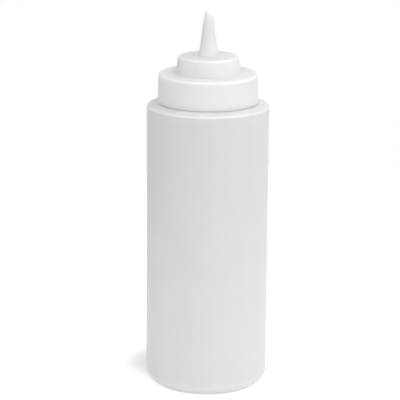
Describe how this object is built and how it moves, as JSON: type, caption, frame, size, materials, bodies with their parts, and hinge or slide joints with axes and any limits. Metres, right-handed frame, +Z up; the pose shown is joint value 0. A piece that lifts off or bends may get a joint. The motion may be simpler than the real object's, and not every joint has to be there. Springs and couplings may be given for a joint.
{
  "type": "squeeze sauce bottle",
  "caption": "Wide-mouth squeeze bottle for sauce: frosted cylindrical body, threaded neck, and a stepped screw cap with an open cone nozzle over a foam seal ring.",
  "frame": {"origin": "centre of the standing ring under the base, on the surface that the bottle stands on", "axes": "+Z up along the bottle's axis towards the nozzle's tip; +X to the right and -Y towards the viewer in the picture"},
  "size_m": [0.0826, 0.0826, 0.2584],
  "materials": {
    "frosted_bottle": "natural translucent low-density polyethylene, frosted, blow-moulded",
    "seal_foam": "closed-cell polyethylene foam",
    "white_cap": "near-white low-density polyethylene, satin, injection-moulded"
  },
  "bodies": {
    "bottle": {"bottle": "frosted_bottle"},
    "seal": {"seal_ring": "seal_foam"},
    "cap": {"nozzle_cap": "white_cap"}
  },
  "joints": [
    {"name": "cap_rise", "type": "slide", "parent": "bottle", "child": "seal", "axis": [0, 0, 1], "range_m": [0, 0.018]},
    {"name": "cap_turn", "type": "hinge", "parent": "seal", "child": "cap", "pos_m": [0, 0, 0.214], "axis": [0, 0, 1], "range_deg": [0, 1530]}
  ],
  "couplings": [
    {"joint": "cap_rise", "follows": "cap_turn", "m_per_rad": 0.0006737}
  ]
}
